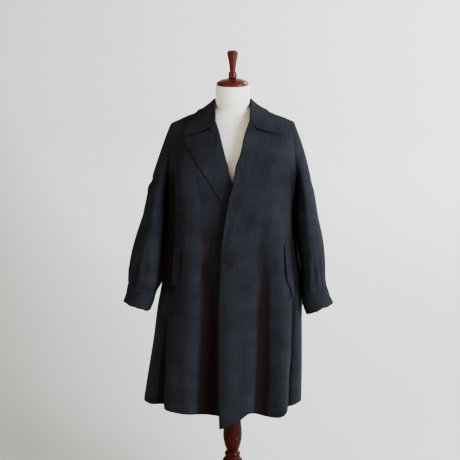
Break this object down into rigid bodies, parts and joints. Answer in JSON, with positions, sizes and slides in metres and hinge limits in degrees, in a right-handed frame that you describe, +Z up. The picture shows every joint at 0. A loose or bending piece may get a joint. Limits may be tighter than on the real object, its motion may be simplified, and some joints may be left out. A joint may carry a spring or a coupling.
{
  "type": "overcoat on dress form",
  "caption": "Loose knee-length overcoat with wide notched lapels and a waist tab, open at neck, cuffs and hem, worn by a limbless dress form on a turned wooden stand.",
  "frame": {"origin": "centre of the round base's underside, on the stand's axis", "axes": "+Z up along the pole; the coat's front faces -Y; the wearer's left, where the lapped front is, is +X"},
  "size_m": [0.7336, 0.3867, 1.6625],
  "materials": {
    "coat_cloth": "matt dark navy wool twill",
    "tab_cloth": "matt near-black wool",
    "button_horn": "dark horn, half gloss",
    "form_cloth": "matt ivory jersey",
    "turned_wood": "red mahogany, polished"
  },
  "bodies": {
    "root": {"front_left": "coat_cloth", "front_right": "coat_cloth", "back": "coat_cloth", "lapel_left": "coat_cloth", "lapel_right": "coat_cloth", "collar": "coat_cloth", "sleeve_left": "coat_cloth", "sleeve_right": "coat_cloth", "cuff_left": "coat_cloth", "cuff_right": "coat_cloth", "pocket_flap_left": "coat_cloth", "pocket_flap_right": "coat_cloth", "front_tab": "tab_cloth", "pocket_button_left": "button_horn", "pocket_button_right": "button_horn", "form_body": "form_cloth", "neck_cap": "turned_wood", "finial": "turned_wood", "pole": "turned_wood", "base": "turned_wood"}
  },
  "joints": []
}
